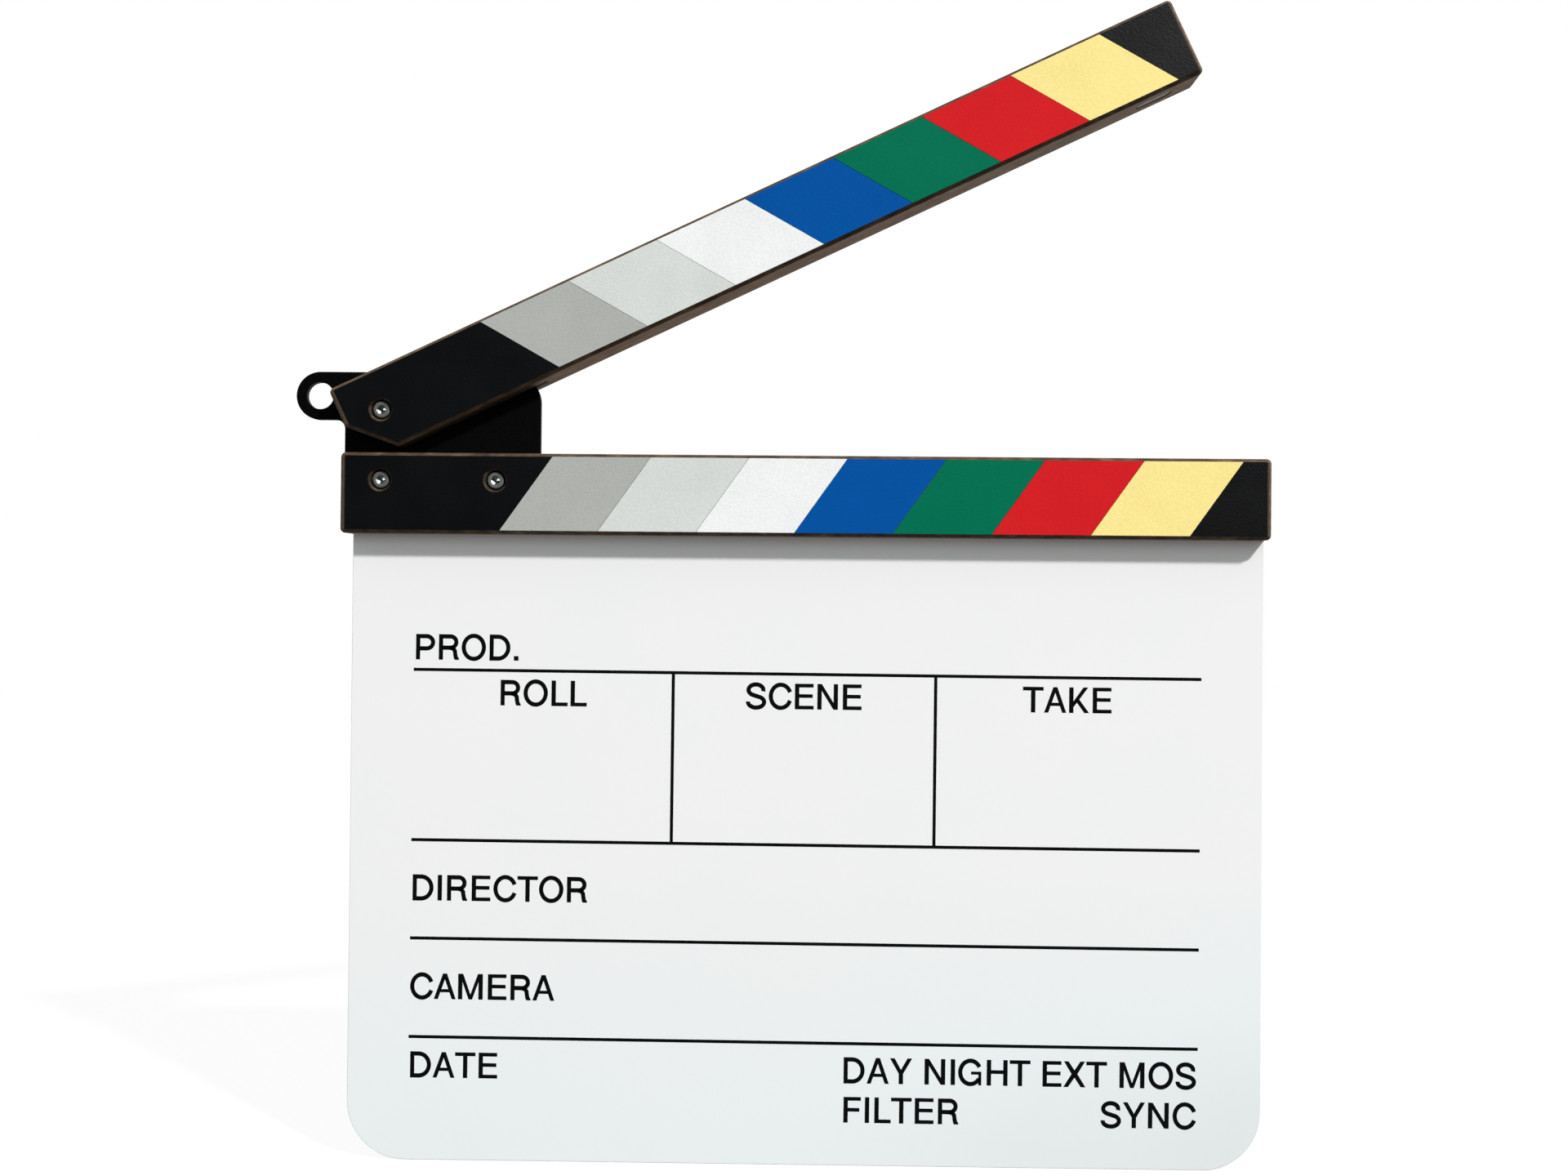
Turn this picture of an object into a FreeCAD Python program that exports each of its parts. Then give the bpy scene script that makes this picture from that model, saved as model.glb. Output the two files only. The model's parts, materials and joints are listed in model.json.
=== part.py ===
import FreeCAD, Part
import math
import os

import Sketcher
from FreeCAD import Placement, Rotation, Vector

# A film clapperboard: a white acrylic slate let into a groove of the lower clap stick, and an upper
# clap stick that swings on a pivot screw. The sticks are forked round a thin hinge plate, which is
# bolted to the lower stick and carries a lanyard eye. Bar magnets in the meeting edges hold it shut.
# Millimetres. +Z is up and the printed front faces -Y. The origin is on the slate's bottom edge, below
# the middle of the lower stick.

# Driving dimensions, one cell each
DIMENSIONS = (
    # White acrylic slate
    ("board_inset_left", 2.7),
    ("board_inset_right", 0.7),
    ("board_height", 203.8),
    ("board_thickness", 3),
    ("board_corner_radius", 19),
    ("board_edge_break", 0.15),
    ("board_side_play", 0.05),
    # Clap sticks and the film on their faces
    ("stick_length", 300),
    ("free_end_setback", 0.55),
    ("stick_width", 26.1),
    ("stick_thickness", 15),
    ("stick_edge_chamfer", 1.1),
    ("film_thickness", 0.3),
    ("film_seam", 0.15),
    ("film_corner_radius", 0.5),
    ("clap_gap", 0.8),
    # Slanted stripes: the black left at each end, measured at mid-width, and the lean in degrees.
    # On the lower stick the black at the hinge runs a margin past the second screw.
    ("lower_black_margin", 10),
    ("lower_black_end", 17.8),
    ("upper_black_start", 62.6),
    ("upper_black_end", 17.3),
    ("stripe_slant", 35.3),
    # Hinge: the angle in degrees between the sticks as modelled, then the plate about the pivot
    ("rest_opening", 25.3),
    ("pivot_inset", 13),
    ("tail_length", 13),
    ("plate_thickness", 2),
    ("plate_slot_play", 0.15),
    ("plate_reach", 50.7),
    ("plate_screw_margin", 13.4),
    ("plate_rise", 13),
    ("plate_overhang", 0.6),
    ("plate_corner_radius", 10),
    ("plate_edge_break", 0.2),
    ("seat_depth", 13.5),
    ("seat_web", 3.5),
    ("fork_play", 1.2),
    ("eye_offset", 21.8),
    ("eye_radius", 4.4),
    ("lug_wall", 3.45),
    ("lug_fillet", 3),
    # Socket-head screws and the bores that they sit in
    ("screw_drop", 8.8),
    ("shank_diameter", 3),
    ("head_diameter", 5.5),
    ("head_height", 3),
    ("head_edge_break", 0.4),
    ("head_recess", 1),
    ("head_play", 0.5),
    ("socket_width", 2.5),
    ("socket_depth", 1.6),
    ("tip_setback", 0.1),
    ("tip_chamfer", 0.4),
    ("mouth_chamfer", 0.7),
    ("hole_play", 0.1),
    ("pivot_play", 0.05),
    # Hexagon nuts on the plate screws, and the lock nut on the pivot screw
    ("nut_width", 5.5),
    ("nut_height", 2.4),
    ("nut_recess", 0.9),
    ("nut_play", 0.35),
    ("thread_play", 0.05),
    ("lock_nut_height", 4),
    ("lock_collar_height", 1.4),
    ("lock_collar_diameter", 5),
    ("lock_collar_wall", 0.4),
    ("lock_collar_break", 0.2),
    # Bar magnets in the meeting edges
    ("magnet_length", 12),
    ("magnet_width", 4),
    ("magnet_height", 3),
    ("magnet_inset", 16),
    ("magnet_play", 0.3),
    ("magnet_recess", 0.3),
)

STRIPE_COLOURS = ("mid_grey", "light_grey", "white", "blue", "green", "red", "yellow")

# Places worked out from the driving dimensions, as expressions.
# A stick's own frame: X from its hinge end, Z from mid-width, Y from mid-thickness.
HALF_WIDTH = "(dim.stick_width / 2)"
FRONT = "(dim.stick_thickness / 2)"
CORE_FACE = "(dim.stick_thickness / 2 - dim.film_thickness)"
EDGE = "dim.stick_edge_chamfer"
CORNER_RADIUS = "(dim.film_corner_radius + dim.stick_edge_chamfer)"
FACE_HALF = "(dim.stick_width / 2 - dim.stick_edge_chamfer)"
PIVOT_X = "(dim.pivot_inset - dim.stick_length / 2)"
PIVOT_Z = "(dim.board_height + dim.stick_width * 1.5 + dim.clap_gap)"
SLOT_WIDTH = "(dim.plate_thickness + 2 * dim.plate_slot_play)"
TONGUE = "(dim.stick_width - dim.seat_depth - dim.seat_web)"
FORK_ROOT = "(dim.plate_reach + dim.fork_play)"
UPPER_LENGTH = "(dim.stick_length - dim.pivot_inset + dim.tail_length - dim.free_end_setback)"
SCREW_SPACING = "(dim.plate_reach - dim.plate_screw_margin)"
SECOND_SCREW_X = f"(dim.pivot_inset + {SCREW_SPACING})"
SCREW_LEVEL = "(dim.stick_width / 2 - dim.screw_drop)"
SHANK_RADIUS = "(dim.shank_diameter / 2)"
SHANK_HOLE = f"({SHANK_RADIUS} + dim.hole_play)"
HEAD_RADIUS = "(dim.head_diameter / 2)"
HEAD_TOP = f"({FRONT} - dim.head_recess)"
HEAD_SEAT = f"({HEAD_TOP} - dim.head_height)"
HEAD_BORE = f"({HEAD_RADIUS} + dim.head_play)"
HEAD_MOUTH = f"({HEAD_BORE} + dim.mouth_chamfer)"
NUT_TOP = f"({FRONT} - dim.nut_recess)"
NUT_SEAT = f"({NUT_TOP} - dim.lock_nut_height)"
NUT_BORE = "(dim.nut_width / sqrt(3) + dim.nut_play)"
NUT_MOUTH = f"({NUT_BORE} + dim.mouth_chamfer)"
THREAD_HOLE = f"({SHANK_RADIUS} + dim.thread_play)"
LUG_RADIUS = "(dim.eye_radius + dim.lug_wall)"
EYE_LEVEL = f"(dim.plate_rise - {LUG_RADIUS})"
UPPER_MAGNET_X = f"({UPPER_LENGTH} - dim.magnet_inset)"
LOWER_MAGNET_X = f"({UPPER_MAGNET_X} - dim.tail_length + dim.pivot_inset)"

doc = FreeCAD.newDocument("clapperboard")
sheet = doc.addObject("Spreadsheet::Sheet", "dim")
for row, (alias, size) in enumerate(DIMENSIONS, start=1):
    sheet.set(f"A{row}", alias)
    sheet.set(f"B{row}", str(size))
    sheet.setAlias(f"B{row}", alias)
doc.recompute()

subparts = []


def number(expression):
    """The present value of an expression on the dimensions."""
    return float(sheet.evalExpression(expression))


# Sketches


def new_body(label):
    body = doc.addObject("PartDesign::Body", label)
    body.Label = label
    subparts.append(body)
    return body


def origin_feature(body, role):
    return next(feature for feature in body.Origin.OriginFeatures if feature.Role == role)


def new_sketch(body, name, role="XZ_Plane", **offsets):
    """A sketch on an origin plane, moved by expressions along the sketch's own x, y or z."""
    sketch = body.newObject("Sketcher::SketchObject", f"{body.Name}_{name}")
    sketch.AttachmentSupport = [(origin_feature(body, role), "")]
    sketch.MapMode = "FlatFace"
    for axis, expression in offsets.items():
        sketch.setExpression(f"AttachmentOffset.Base.{axis}", expression)
    return sketch


def bind_point(sketch, geometry, point, x, y):
    """Ties a point's distances from the sketch origin to expressions."""
    for kind, expression in (("DistanceX", x), ("DistanceY", y)):
        datum = Sketcher.Constraint(kind, -1, 1, geometry, point, number(expression))
        sketch.setExpression(f"Constraints[{sketch.addConstraint(datum)}]", expression)


def bind_radius(sketch, geometry, radius):
    datum = Sketcher.Constraint("Radius", geometry, number(radius))
    sketch.setExpression(f"Constraints[{sketch.addConstraint(datum)}]", radius)


def draw_polygon(sketch, corners):
    places = [Vector(number(x), number(y), 0) for x, y in corners]
    following = places[1:] + places[:1]
    lines = [sketch.addGeometry(Part.LineSegment(a, b)) for a, b in zip(places, following)]
    for line, after in zip(lines, lines[1:] + lines[:1]):
        sketch.addConstraint(Sketcher.Constraint("Coincident", line, 2, after, 1))
    for line, (x, y) in zip(lines, corners):
        bind_point(sketch, line, 1, x, y)


def draw_rectangle(sketch, left, bottom, right, top):
    draw_polygon(sketch, [(left, bottom), (right, bottom), (right, top), (left, top)])


def draw_circle(sketch, x, y, radius):
    centre = Vector(number(x), number(y), 0)
    circle = sketch.addGeometry(Part.Circle(centre, Vector(0, 0, 1), number(radius)))
    bind_point(sketch, circle, 3, x, y)
    bind_radius(sketch, circle, radius)


def draw_hexagon(sketch, width):
    """A hexagon about the sketch origin, with the given width across its flats."""
    corner = f"({width} / sqrt(3))"
    half = f"({width} / 2)"
    right = [(f"{corner} / 2", f"-{half}"), (corner, "0"), (f"{corner} / 2", half)]
    left = [(f"-{corner} / 2", half), (f"-{corner}", "0"), (f"-{corner} / 2", f"-{half}")]
    draw_polygon(sketch, right + left)


def draw_stadium(sketch, x, length, width):
    """A bar with half-round ends, along the sketch's x axis and centred at x."""
    radius = f"({width} / 2)"
    reach = f"({length} / 2 - {radius})"
    centres = (f"{x} + {reach}", f"{x} - {reach}")
    right, left = (Vector(number(centre), 0, 0) for centre in centres)
    side = Vector(0, number(radius), 0)
    quarter = math.pi / 2
    right_circle = Part.Circle(right, Vector(0, 0, 1), side.y)
    left_circle = Part.Circle(left, Vector(0, 0, 1), side.y)
    chain = [
        sketch.addGeometry(Part.LineSegment(left - side, right - side)),
        sketch.addGeometry(Part.ArcOfCircle(right_circle, -quarter, quarter)),
        sketch.addGeometry(Part.LineSegment(right + side, left + side)),
        sketch.addGeometry(Part.ArcOfCircle(left_circle, quarter, 3 * quarter)),
    ]
    for piece, after in zip(chain, chain[1:] + chain[:1]):
        sketch.addConstraint(Sketcher.Constraint("Tangent", piece, 2, after, 1))
    for arc, centre in zip((chain[1], chain[3]), centres):
        bind_point(sketch, arc, 3, centre, "0")
    bind_radius(sketch, chain[1], radius)
    sketch.addConstraint(Sketcher.Constraint("Equal", chain[1], chain[3]))


# Features


def extrude(body, kind, name, sketch, length, symmetric):
    feature = body.newObject(kind, f"{body.Name}_{name}")
    feature.Profile = sketch
    feature.Midplane = symmetric
    feature.setExpression("Length", length)
    doc.recompute()
    return feature


def pad(body, name, sketch, length, symmetric=False):
    extrude(body, "PartDesign::Pad", name, sketch, length, symmetric)


def require_cut(feature):
    if not feature.Shape.Volume < feature.BaseFeature.Shape.Volume:
        raise RuntimeError(f"{feature.Name} removes nothing")


def pocket(body, name, sketch, length, symmetric=False):
    require_cut(extrude(body, "PartDesign::Pocket", name, sketch, length, symmetric))


def turn(body, kind, name, sketch):
    """A full turn of a half profile about the sketch's x axis."""
    feature = body.newObject(kind, f"{body.Name}_{name}")
    feature.Profile = sketch
    feature.ReferenceAxis = (sketch, ["H_Axis"])
    feature.Angle = 360
    doc.recompute()
    return feature


def groove(body, name, sketch):
    feature = turn(body, "PartDesign::Groove", name, sketch)
    require_cut(feature)
    return feature


def round_corners(body, name, corners, radius):
    """Fillets the edges that run along Y at the given corners."""
    places = [(number(x), number(z)) for x, z in corners]
    base = body.Tip
    edges = []
    for index, edge in enumerate(base.Shape.Edges, start=1):
        ends = [vertex.Point for vertex in edge.Vertexes]
        for x, z in places:
            if all(abs(end.x - x) < 1e-4 and abs(end.z - z) < 1e-4 for end in ends):
                edges.append(f"Edge{index}")
    if len(edges) != len(places):
        raise RuntimeError(f"{body.Name}: {len(edges)} of {len(places)} corners found")
    feature = body.newObject("PartDesign::Fillet", f"{body.Name}_{name}")
    feature.Base = (base, edges)
    feature.setExpression("Radius", radius)
    doc.recompute()


def break_outline(body, size):
    """Chamfers the outline of the front and the rear face."""
    base = body.Tip
    faces = [
        f"Face{index}"
        for index, face in enumerate(base.Shape.Faces, start=1)
        if abs(face.normalAt(0, 0).y) > 0.999
    ]
    feature = body.newObject("PartDesign::Chamfer", f"{body.Name}_edge_break")
    feature.Base = (base, faces)
    feature.setExpression("Size", size)
    doc.recompute()


# Places


def place(body, x, z, opening="0"):
    """Sets the body's frame at x, z, turned by the opening angle so that its free end rises."""
    body.Placement = Placement(Vector(), Rotation(Vector(0, -1, 0), number(opening)))
    body.setExpression("Placement.Base.x", x)
    body.setExpression("Placement.Base.z", z)
    if opening != "0":
        body.setExpression("Placement.Rotation.Angle", opening)


def place_on_lower(body, x="0", z="0"):
    """Places a body whose origin is at x, z in the lower stick's frame."""
    place(body, f"{x} - dim.stick_length / 2", f"{z} + dim.board_height + {HALF_WIDTH}")


def place_on_upper(body, x="0"):
    """Places a body whose origin is at x on the upper stick's middle line."""
    arm = f"({x} - dim.tail_length)"
    across = f"{PIVOT_X} + {arm} * cos(dim.rest_opening)"
    up = f"{PIVOT_Z} + {arm} * sin(dim.rest_opening)"
    place(body, across, up, "dim.rest_opening")


# Slate


def make_board():
    """White acrylic sheet with round lower corners, whose upper edge is a tongue in the stick."""
    body = new_body("slate_board")
    left = "(dim.board_inset_left - dim.stick_length / 2)"
    right = "(dim.stick_length / 2 - dim.board_inset_right)"
    outline = new_sketch(body, "outline")
    draw_rectangle(outline, left, "0", right, f"dim.board_height + {TONGUE}")
    pad(body, "sheet", outline, "dim.board_thickness", symmetric=True)
    round_corners(body, "corners", [(left, "0"), (right, "0")], "dim.board_corner_radius")
    break_outline(body, "dim.board_edge_break")
    place(body, "0", "0")


# Stick cores


def stick_core(label, corners):
    """The fibreboard stick, rounded at its corners and chamfered round both faces."""
    body = new_body(label)
    outline = new_sketch(body, "outline")
    draw_polygon(outline, corners)
    pad(body, "blank", outline, f"2 * {CORE_FACE}", symmetric=True)
    round_corners(body, "corners", corners, CORNER_RADIUS)
    break_outline(body, EDGE)
    return body


def cut_slot(body, name, left, bottom, right, top, width):
    """A slot of the given width about mid-thickness."""
    plan = new_sketch(body, f"{name}_plan")
    draw_rectangle(plan, left, bottom, right, top)
    pocket(body, name, plan, width, symmetric=True)


def bore_for_screw(body, x, level):
    """One stepped bore: head pocket in front, shank hole, nut pocket behind."""
    profile = new_sketch(body, "bore_profile", "YZ_Plane", y=level, z=x)
    head_steps = [
        (f"-{FRONT}", "0"),
        (f"-{FRONT}", HEAD_MOUTH),
        (f"-{CORE_FACE}", HEAD_MOUTH),
        (f"dim.mouth_chamfer - {CORE_FACE}", HEAD_BORE),
        (f"-{HEAD_SEAT}", HEAD_BORE),
        (f"-{HEAD_SEAT}", SHANK_HOLE),
    ]
    nut_steps = [
        (NUT_SEAT, SHANK_HOLE),
        (NUT_SEAT, NUT_BORE),
        (f"{CORE_FACE} - dim.mouth_chamfer", NUT_BORE),
        (CORE_FACE, NUT_MOUTH),
        (FRONT, NUT_MOUTH),
        (FRONT, "0"),
    ]
    draw_polygon(profile, head_steps + nut_steps)
    return groove(body, "bore", profile)


def cut_magnet_pocket(body, x, level):
    """A round-ended pocket that is cut downwards from the given level."""
    plan = new_sketch(body, "magnet_plan", "XY_Plane", z=level)
    play = "2 * dim.magnet_play"
    draw_stadium(plan, x, f"(dim.magnet_length + {play})", f"(dim.magnet_width + {play})")
    pocket(body, "magnet_pocket", plan, "dim.magnet_height + dim.magnet_recess")


def make_lower_stick():
    end = "dim.stick_length"
    bottom = f"-{HALF_WIDTH}"
    body = stick_core(
        "lower_stick", [("0", bottom), (end, bottom), (end, HALF_WIDTH), ("0", HALF_WIDTH)]
    )
    groove_width = "dim.board_thickness + 2 * dim.board_side_play"
    cut_slot(body, "board_groove", "0", bottom, end, f"{TONGUE} - {HALF_WIDTH}", groove_width)
    seat_end = "dim.pivot_inset + dim.plate_reach + dim.plate_slot_play"
    cut_slot(body, "plate_seat", "0", f"{HALF_WIDTH} - dim.seat_depth", seat_end, HALF_WIDTH, SLOT_WIDTH)
    cut_magnet_pocket(body, LOWER_MAGNET_X, HALF_WIDTH)
    bore = bore_for_screw(body, "dim.pivot_inset", SCREW_LEVEL)
    row = body.newObject("PartDesign::LinearPattern", "lower_stick_bore_row")
    row.Originals = [bore]
    row.Direction = (origin_feature(body, "X_Axis"), [""])
    row.setExpression("Length", SCREW_SPACING)
    row.Occurrences = 2
    body.Tip = row
    doc.recompute()
    require_cut(row)
    place_on_lower(body)


def make_upper_stick():
    """The swinging stick: its hinge end is cut off aslant below, to clear the lower stick."""
    end = UPPER_LENGTH
    bottom = f"-{HALF_WIDTH}"
    body = stick_core(
        "upper_stick",
        [("0", "0"), (HALF_WIDTH, bottom), (end, bottom), (end, HALF_WIDTH), ("0", HALF_WIDTH)],
    )
    fork_end = f"dim.tail_length + {FORK_ROOT}"
    cut_slot(body, "fork", "0", bottom, fork_end, HALF_WIDTH, SLOT_WIDTH)
    pocket_top = f"dim.magnet_height + dim.magnet_recess - {HALF_WIDTH}"
    cut_magnet_pocket(body, UPPER_MAGNET_X, pocket_top)
    bore_for_screw(body, "dim.tail_length", "0")
    place_on_upper(body)


# Film on the faces of the sticks


def make_film(label, corners, rounded, holes, side):
    """One piece of film on a stick's front or rear face, with square, rounded and bored places."""
    body = new_body(label)
    level = CORE_FACE if side == "front" else f"-{FRONT}"
    outline = new_sketch(body, "outline", z=level)
    draw_polygon(outline, corners)
    for x, z, radius in holes:
        draw_circle(outline, x, z, radius)
    pad(body, "film", outline, "dim.film_thickness")
    if rounded:
        round_corners(body, "corners", rounded, "dim.film_corner_radius")
    return body


def make_stick_films(stick, length, start, hinge_corners, lean, screw_places, put):
    """All the film of one stick: black ends, seven stripes between them, and the black rear."""
    count = len(STRIPE_COLOURS)
    pitch = f"(({length} - {start} - dim.{stick}_black_end) / {count})"
    slope = f"{lean} * {FACE_HALF} * tan(dim.stripe_slant)"
    free = f"({length} - {EDGE})"
    low = f"-{FACE_HALF}"

    def line(index, seam):
        """Lower and upper end of a seam line, moved by half a seam to one side."""
        middle = f"{start} + {index} * {pitch} + {seam} * dim.film_seam / 2"
        return (f"{middle} - {slope}", low), (f"{middle} + {slope}", FACE_HALF)

    first_low, first_high = line(0, -1)
    front_holes = [(x, z, HEAD_MOUTH) for x, z in screw_places]
    rear_holes = [(x, z, NUT_MOUTH) for x, z in screw_places]
    free_corners = [(free, low), (free, FACE_HALF)]
    hinge_film = hinge_corners[:-1] + [first_low, first_high] + hinge_corners[-1:]
    put(make_film(f"{stick}_film_hinge_end", hinge_film, hinge_corners, front_holes, "front"))
    for index, colour in enumerate(STRIPE_COLOURS):
        left_low, left_high = line(index, 1)
        right_low, right_high = line(index + 1, -1)
        stripe = [left_low, right_low, right_high, left_high]
        put(make_film(f"{stick}_stripe_{colour}", stripe, [], [], "front"))
    last_low, last_high = line(count, 1)
    free_film = [last_low] + free_corners + [last_high]
    put(make_film(f"{stick}_film_free_end", free_film, free_corners, [], "front"))
    rear_film = hinge_corners[:-1] + free_corners + hinge_corners[-1:]
    put(make_film(f"{stick}_film_rear", rear_film, rear_film, rear_holes, "rear"))


def make_films():
    lower_corners = [(EDGE, f"-{FACE_HALF}"), (EDGE, FACE_HALF)]
    screws = [("dim.pivot_inset", SCREW_LEVEL), (SECOND_SCREW_X, SCREW_LEVEL)]
    lower_start = f"({SECOND_SCREW_X} + dim.lower_black_margin)"
    length = "dim.stick_length"
    make_stick_films("lower", length, lower_start, lower_corners, 1, screws, place_on_lower)
    cut_inset = f"{EDGE} * (sqrt(2) - 1)"
    upper_corners = [
        (EDGE, cut_inset),
        (f"{HALF_WIDTH} + {cut_inset}", f"-{FACE_HALF}"),
        (EDGE, FACE_HALF),
    ]
    pivot = [("dim.tail_length", "0")]
    upper_start = "dim.upper_black_start"
    make_stick_films("upper", UPPER_LENGTH, upper_start, upper_corners, -1, pivot, place_on_upper)


# Hinge plate


def make_hinge_plate():
    """The plate that both sticks straddle, in a frame at the pivot, with its lanyard eye."""
    body = new_body("hinge_plate")
    left = "-(dim.pivot_inset + dim.plate_overhang)"
    foot = f"-({HALF_WIDTH} + dim.clap_gap + dim.seat_depth)"
    eye_x = "-dim.eye_offset"
    lug_foot = f"dim.plate_rise - 2 * {LUG_RADIUS}"
    blade = new_sketch(body, "blade")
    draw_rectangle(blade, left, foot, "dim.plate_reach", "dim.plate_rise")
    pad(body, "blank", blade, "dim.plate_thickness", symmetric=True)
    neck = new_sketch(body, "neck")
    draw_rectangle(neck, eye_x, lug_foot, left, "dim.plate_rise")
    pad(body, "lug_neck", neck, "dim.plate_thickness", symmetric=True)
    ring = new_sketch(body, "ring")
    draw_circle(ring, eye_x, EYE_LEVEL, LUG_RADIUS)
    pad(body, "lug", ring, "dim.plate_thickness", symmetric=True)
    round_corners(body, "lug_corner", [(left, lug_foot)], "dim.lug_fillet")
    top_corner = [("dim.plate_reach", "dim.plate_rise")]
    round_corners(body, "top_corner", top_corner, "dim.plate_corner_radius")
    break_outline(body, "dim.plate_edge_break")
    holes = new_sketch(body, "holes")
    screw_level = f"-({HALF_WIDTH} + dim.clap_gap + dim.screw_drop)"
    draw_circle(holes, eye_x, EYE_LEVEL, "dim.eye_radius")
    draw_circle(holes, "0", "0", f"{SHANK_RADIUS} + dim.pivot_play")
    draw_circle(holes, "0", screw_level, SHANK_HOLE)
    draw_circle(holes, SCREW_SPACING, screw_level, SHANK_HOLE)
    pocket(body, "bored", holes, "dim.plate_thickness", symmetric=True)
    place(body, PIVOT_X, PIVOT_Z)


# Fasteners, each in a frame on its own axis at mid-thickness


def make_screw(label):
    body = new_body(label)
    profile = new_sketch(body, "profile", "YZ_Plane")
    tip = f"({NUT_TOP} - dim.tip_setback)"
    head_rim = f"{HEAD_RADIUS} - dim.head_edge_break"
    steps = [
        (f"-{HEAD_TOP}", "0"),
        (f"-{HEAD_TOP}", head_rim),
        (f"dim.head_edge_break - {HEAD_TOP}", HEAD_RADIUS),
        (f"-{HEAD_SEAT}", HEAD_RADIUS),
        (f"-{HEAD_SEAT}", SHANK_RADIUS),
        (f"{tip} - dim.tip_chamfer", SHANK_RADIUS),
        (tip, f"{SHANK_RADIUS} - dim.tip_chamfer"),
        (tip, "0"),
    ]
    draw_polygon(profile, steps)
    turn(body, "PartDesign::Revolution", "turned", profile)
    socket = new_sketch(body, "socket_plan", z=HEAD_TOP)
    draw_hexagon(socket, "dim.socket_width")
    pocket(body, "socket", socket, "dim.socket_depth")
    return body


def hexagon_nut(label, height):
    """A hexagon on the nut seat, with its outer corners turned off at 30 degrees."""
    body = new_body(label)
    outer_face = f"({NUT_SEAT} + {height})"
    plan = new_sketch(body, "plan", z=f"-{outer_face}")
    draw_hexagon(plan, "dim.nut_width")
    draw_circle(plan, "0", "0", THREAD_HOLE)
    pad(body, "hexagon", plan, height)
    flat = "(dim.nut_width / 2)"
    corner = "(dim.nut_width / sqrt(3))"
    profile = new_sketch(body, "corner_profile", "YZ_Plane")
    fall = f"{outer_face} - ({corner} - {flat}) * tan(30)"
    draw_polygon(profile, [(outer_face, flat), (outer_face, corner), (fall, corner)])
    groove(body, "turned_corners", profile)
    return body


def make_lock_nut():
    """A hexagon nut with a round collar that holds a nylon ring round the screw's tip."""
    hexagon_height = "(dim.lock_nut_height - dim.lock_collar_height)"
    body = hexagon_nut("pivot_lock_nut", hexagon_height)
    collar_foot = f"({NUT_SEAT} + {hexagon_height})"
    outer = "(dim.lock_collar_diameter / 2)"
    inner = f"({outer} - dim.lock_collar_wall)"
    profile = new_sketch(body, "collar_profile", "YZ_Plane")
    collar = [
        (collar_foot, inner),
        (NUT_TOP, inner),
        (NUT_TOP, f"{outer} - dim.lock_collar_break"),
        (f"{NUT_TOP} - dim.lock_collar_break", outer),
        (collar_foot, outer),
    ]
    draw_polygon(profile, collar)
    turn(body, "PartDesign::Revolution", "collar", profile)
    ring = new_body("pivot_lock_ring")
    ring_plan = new_sketch(ring, "plan", z=f"dim.lock_collar_break - {NUT_TOP}")
    draw_circle(ring_plan, "0", "0", inner)
    draw_circle(ring_plan, "0", "0", THREAD_HOLE)
    pad(ring, "ring", ring_plan, "dim.lock_collar_height - dim.lock_collar_break")
    return body, ring


def make_fasteners():
    for side, x in (("left", "dim.pivot_inset"), ("right", SECOND_SCREW_X)):
        place_on_lower(make_screw(f"plate_screw_{side}"), x, SCREW_LEVEL)
        place_on_lower(hexagon_nut(f"plate_nut_{side}", "dim.nut_height"), x, SCREW_LEVEL)
    place_on_upper(make_screw("pivot_screw"), "dim.tail_length")
    for piece in make_lock_nut():
        place_on_upper(piece, "dim.tail_length")


# Magnets


def make_magnet(label, foot):
    """A round-ended bar whose lower face is at the given level."""
    body = new_body(label)
    plan = new_sketch(body, "plan", "XY_Plane", z=foot)
    draw_stadium(plan, "0", "dim.magnet_length", "dim.magnet_width")
    pad(body, "bar", plan, "dim.magnet_height")
    return body


def make_magnets():
    lower_foot = f"{HALF_WIDTH} - dim.magnet_recess - dim.magnet_height"
    place_on_lower(make_magnet("lower_magnet", lower_foot), LOWER_MAGNET_X)
    place_on_upper(make_magnet("upper_magnet", f"dim.magnet_recess - {HALF_WIDTH}"), UPPER_MAGNET_X)


def check_document():
    for item in doc.Objects:
        if "Invalid" in item.State or "Error" in item.State:
            raise RuntimeError(f"{item.Name} failed: {item.State}")
    for body in subparts:
        if body.Shape.isNull() or not body.Shape.isValid() or len(body.Shape.Solids) != 1:
            raise RuntimeError(f"{body.Label} is not one valid solid")


make_board()
make_lower_stick()
make_upper_stick()
make_films()
make_hinge_plate()
make_fasteners()
make_magnets()
doc.recompute()
check_document()

os.makedirs("parts", exist_ok=True)
for body in subparts:
    body.Shape.exportStep(f"parts/{body.Label}.step")
print(f"{len(subparts)} sub-parts written")
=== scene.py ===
import json
import math

import bmesh
import bpy
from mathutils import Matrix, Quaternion, Vector


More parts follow.
